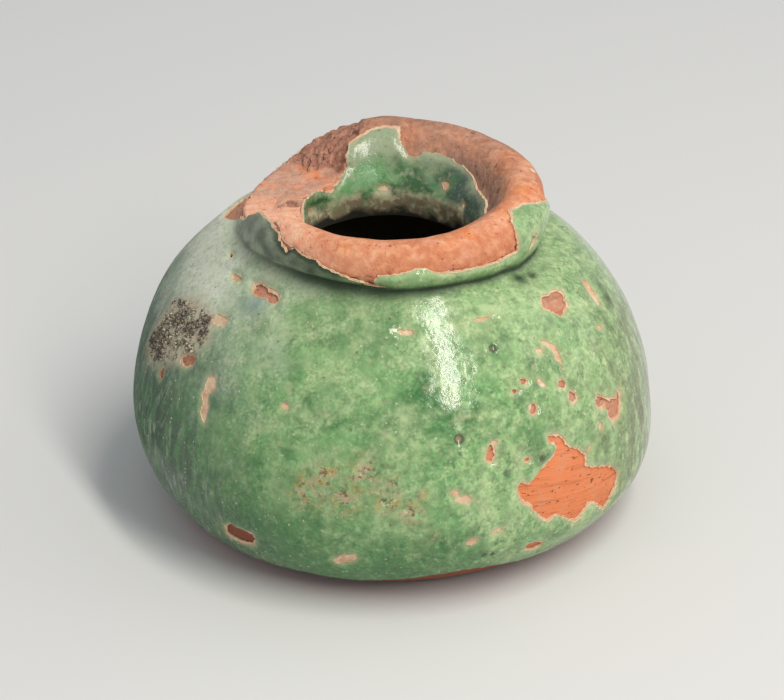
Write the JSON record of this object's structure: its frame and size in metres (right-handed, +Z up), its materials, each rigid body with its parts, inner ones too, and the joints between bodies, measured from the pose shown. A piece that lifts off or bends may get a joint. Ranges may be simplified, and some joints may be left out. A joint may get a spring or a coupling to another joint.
{
  "type": "glazed jar",
  "caption": "Small squat round-bellied clay jar with a thick rolled rim and a narrow mouth, green glaze over pale slip, flaked and chipped; stands on a flat base and holds oil or ointment.",
  "frame": {"origin": "centre of the flat base, on the surface that the jar stands on", "axes": "+Z up along the axis it was turned on, +X to the right of the pictured side, which faces -Y"},
  "size_m": [0.076, 0.076, 0.0493],
  "materials": {
    "red_clay": "bare fired clay, matte, with turning lines and pits",
    "rim_clay": "bare fired clay, matte, worn and dusty",
    "pale_slip": "chalky, matte",
    "green_glaze": "glossy, mottled, with a dull weathered side",
    "lining_glaze": "glossy, mottled, soiled at the throat",
    "soil": "gritty, matte"
  },
  "bodies": {
    "root": {"thrown_body": "red_clay", "rim_coil": "rim_clay", "outer_slip": "pale_slip", "outer_glaze": "green_glaze", "inner_slip": "pale_slip", "inner_glaze": "lining_glaze", "soil_crust": "soil"}
  },
  "joints": []
}
